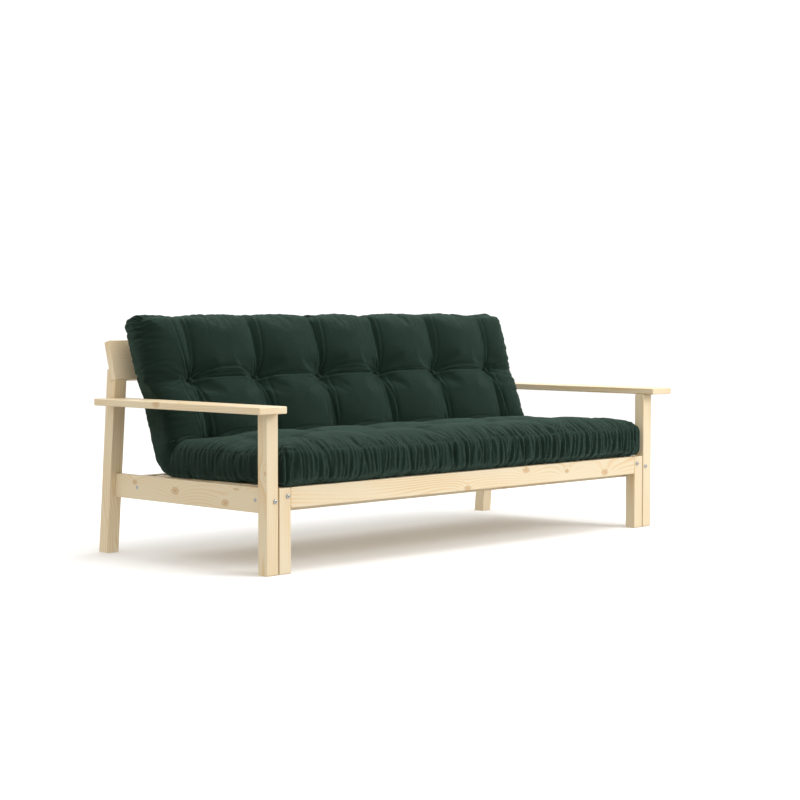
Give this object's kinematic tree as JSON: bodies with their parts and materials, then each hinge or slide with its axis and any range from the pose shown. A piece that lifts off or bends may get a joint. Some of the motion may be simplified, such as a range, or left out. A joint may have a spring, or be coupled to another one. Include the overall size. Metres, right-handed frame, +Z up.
{
  "type": "futon sofa bed",
  "caption": "Wooden sofa bed with flat armrests, a slatted base that pulls out at the front and a folded tufted futon mattress.",
  "frame": {"origin": "on the floor, under the middle of the object's box", "axes": "+X towards the right end as seen from the front, -Y towards the front, +Z up"},
  "size_m": [2.181, 0.9578, 0.8541],
  "materials": {
    "pine": "clear satin lacquer on planed softwood",
    "pine_slat": "planed softwood, left bare",
    "zinc": "bright zinc plating",
    "cotton_cover": "closely woven cotton twill, dark green, soft sheen"
  },
  "bodies": {
    "main_frame": {"front_leg_left": "pine", "front_leg_right": "pine", "rear_leg_left": "pine", "rear_leg_right": "pine", "armrest_left": "pine", "armrest_right": "pine", "side_rail_left": "pine", "side_rail_right": "pine", "back_rail": "pine", "front_cross_rail": "pine", "rear_cross_rail": "pine", "slat_cleat": "pine", "fixed_slat_1": "pine_slat", "fixed_slat_2": "pine_slat", "fixed_slat_3": "pine_slat", "fixed_slat_4": "pine_slat", "fixed_slat_5": "pine_slat", "fixed_slat_6": "pine_slat", "fixed_slat_7": "pine_slat", "fixed_slat_8": "pine_slat", "fixed_slat_9": "pine_slat", "front_leg_bolt_left": "zinc", "rear_leg_bolt_left": "zinc", "front_barrel_nut_left": "zinc", "rear_barrel_nut_left": "zinc", "cross_rail_bolt_left": "zinc", "back_rail_screw_left": "zinc", "front_leg_bolt_right": "zinc", "rear_leg_bolt_right": "zinc", "front_barrel_nut_right": "zinc", "rear_barrel_nut_right": "zinc", "cross_rail_bolt_right": "zinc", "back_rail_screw_right": "zinc"},
    "pull_out": {"pull_out_front_rail": "pine", "pull_out_leg_left": "pine", "pull_out_leg_right": "pine", "pull_out_side_rail_left": "pine", "pull_out_side_rail_right": "pine", "slat_ledger": "pine", "slat_tie_rail": "pine", "stop_block_left": "pine", "stop_block_right": "pine", "sliding_slat_1": "pine_slat", "sliding_slat_2": "pine_slat", "sliding_slat_3": "pine_slat", "sliding_slat_4": "pine_slat", "sliding_slat_5": "pine_slat", "sliding_slat_6": "pine_slat", "sliding_slat_7": "pine_slat", "sliding_slat_8": "pine_slat", "sliding_slat_9": "pine_slat", "sliding_slat_10": "pine_slat", "pull_out_bolt_left": "zinc", "pull_out_barrel_nut_left": "zinc", "pull_out_bolt_right": "zinc", "pull_out_barrel_nut_right": "zinc", "mattress_seat": "cotton_cover"},
    "mattress_back": {"mattress_back": "cotton_cover"}
  },
  "joints": [
    {"name": "pull_out_slide", "type": "slide", "parent": "main_frame", "child": "pull_out", "axis": [0, -1, 0], "range_m": [0, 0.46]},
    {"name": "mattress_fold", "type": "hinge", "parent": "pull_out", "child": "mattress_back", "pos_m": [0, 0.1567, 0.356], "axis": [-1, 0, 0], "range_deg": [0, 71.4]}
  ],
  "couplings": [
    {"joint": "mattress_fold", "follows": "pull_out_slide", "rad_per_m": 2.709}
  ]
}
